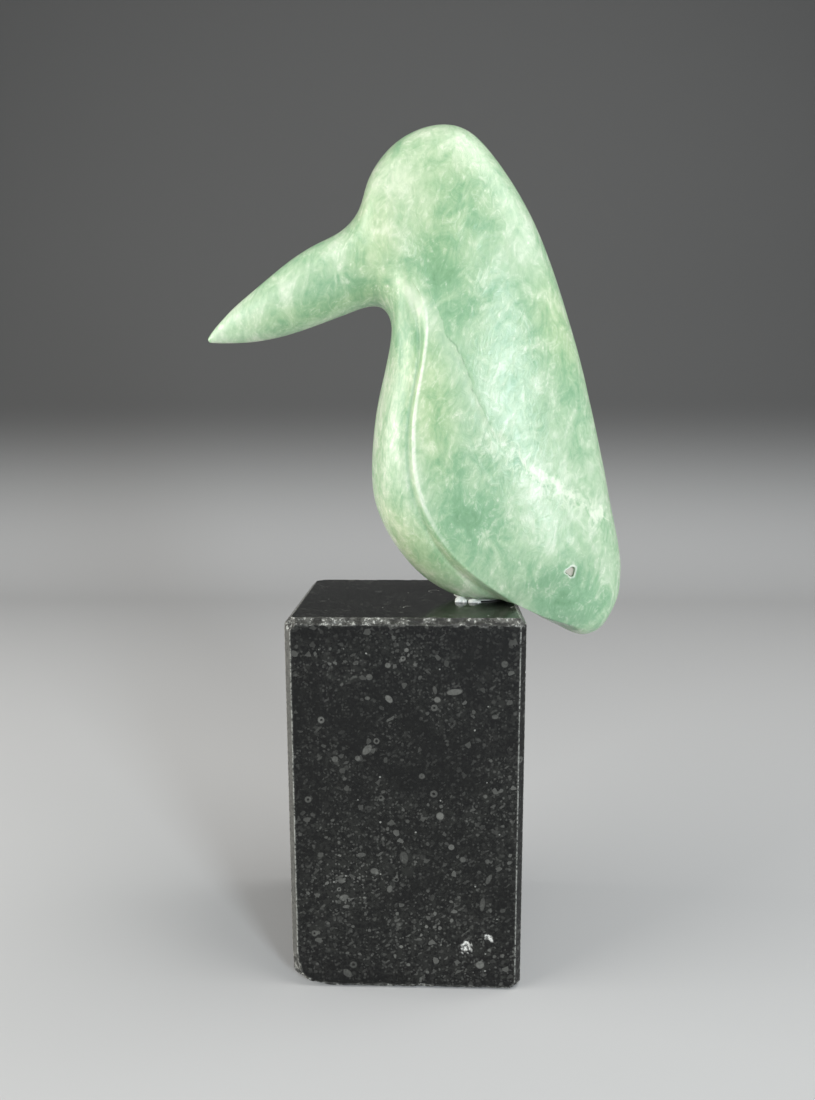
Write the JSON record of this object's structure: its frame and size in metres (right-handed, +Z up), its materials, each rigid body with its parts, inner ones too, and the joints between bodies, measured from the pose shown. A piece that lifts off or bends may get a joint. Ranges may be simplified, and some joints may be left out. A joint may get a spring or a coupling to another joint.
{
  "type": "soapstone bird carving",
  "caption": "Stylised long-beaked bird carved in green soapstone, glued by its belly to a tall polished block of black fossil limestone.",
  "frame": {"origin": "middle of the block's underside", "axes": "+Z up, the bird's beak points to -X, the bird is the same on both sides of the plane y = 0"},
  "size_m": [0.1847, 0.088, 0.369],
  "materials": {
    "green_soapstone": "polished, translucent pale green with cloudy lighter streaks and a whitish vein",
    "black_limestone": "polished near-black with small grey fossil fragments, rough grey arrises",
    "clear_glue": "glossy clear whitish adhesive"
  },
  "bodies": {
    "root": {"plinth": "black_limestone", "glue_bed": "clear_glue", "bird": "green_soapstone"}
  },
  "joints": []
}
